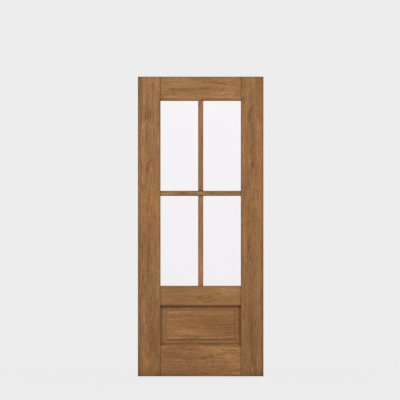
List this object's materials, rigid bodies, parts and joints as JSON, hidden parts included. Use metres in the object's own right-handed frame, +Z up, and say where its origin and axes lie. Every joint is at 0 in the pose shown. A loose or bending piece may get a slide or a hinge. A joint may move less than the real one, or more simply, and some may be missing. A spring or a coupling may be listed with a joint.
{
  "type": "half-glazed door leaf",
  "caption": "Timber door leaf: stained stiles and rails hold clear glass panes, divided by bars, above a raised panel with mitred margins.",
  "frame": {"origin": "foot of the hinge edge, in the middle of the leaf's thickness", "axes": "+X across the leaf from the hinge edge to the lock edge, +Y from the front face to the beaded back face, +Z up"},
  "size_m": [0.83, 0.044, 1.981],
  "materials": {
    "stained_timber": "mid-brown stain under a satin clear coat",
    "clear_glass": "clear, polished",
    "spacer_metal": "mill finish, matt",
    "glazing_sealant": "dark brown, tooled smooth, satin"
  },
  "bodies": {
    "root": {"hinge_stile": "stained_timber", "lock_stile": "stained_timber", "top_rail": "stained_timber", "lock_rail": "stained_timber", "bottom_rail": "stained_timber", "raised_panel": "stained_timber", "cross_bar": "stained_timber", "upper_bar": "stained_timber", "lower_bar": "stained_timber", "front_strip_foot": "stained_timber", "front_strip_right": "stained_timber", "front_strip_head": "stained_timber", "front_strip_left": "stained_timber", "back_strip_foot": "stained_timber", "back_strip_right": "stained_timber", "back_strip_head": "stained_timber", "back_strip_left": "stained_timber", "bead_lower_left_foot": "stained_timber", "bead_lower_left_right": "stained_timber", "bead_lower_left_head": "stained_timber", "bead_lower_left_left": "stained_timber", "bead_lower_right_foot": "stained_timber", "bead_lower_right_right": "stained_timber", "bead_lower_right_head": "stained_timber", "bead_lower_right_left": "stained_timber", "bead_upper_left_foot": "stained_timber", "bead_upper_left_right": "stained_timber", "bead_upper_left_head": "stained_timber", "bead_upper_left_left": "stained_timber", "bead_upper_right_foot": "stained_timber", "bead_upper_right_right": "stained_timber", "bead_upper_right_head": "stained_timber", "bead_upper_right_left": "stained_timber", "front_glass_lower_left": "clear_glass", "back_glass_lower_left": "clear_glass", "front_glass_lower_right": "clear_glass", "back_glass_lower_right": "clear_glass", "front_glass_upper_left": "clear_glass", "back_glass_upper_left": "clear_glass", "front_glass_upper_right": "clear_glass", "back_glass_upper_right": "clear_glass", "spacer_lower_left": "spacer_metal", "spacer_lower_right": "spacer_metal", "spacer_upper_left": "spacer_metal", "spacer_upper_right": "spacer_metal"}
  },
  "joints": []
}
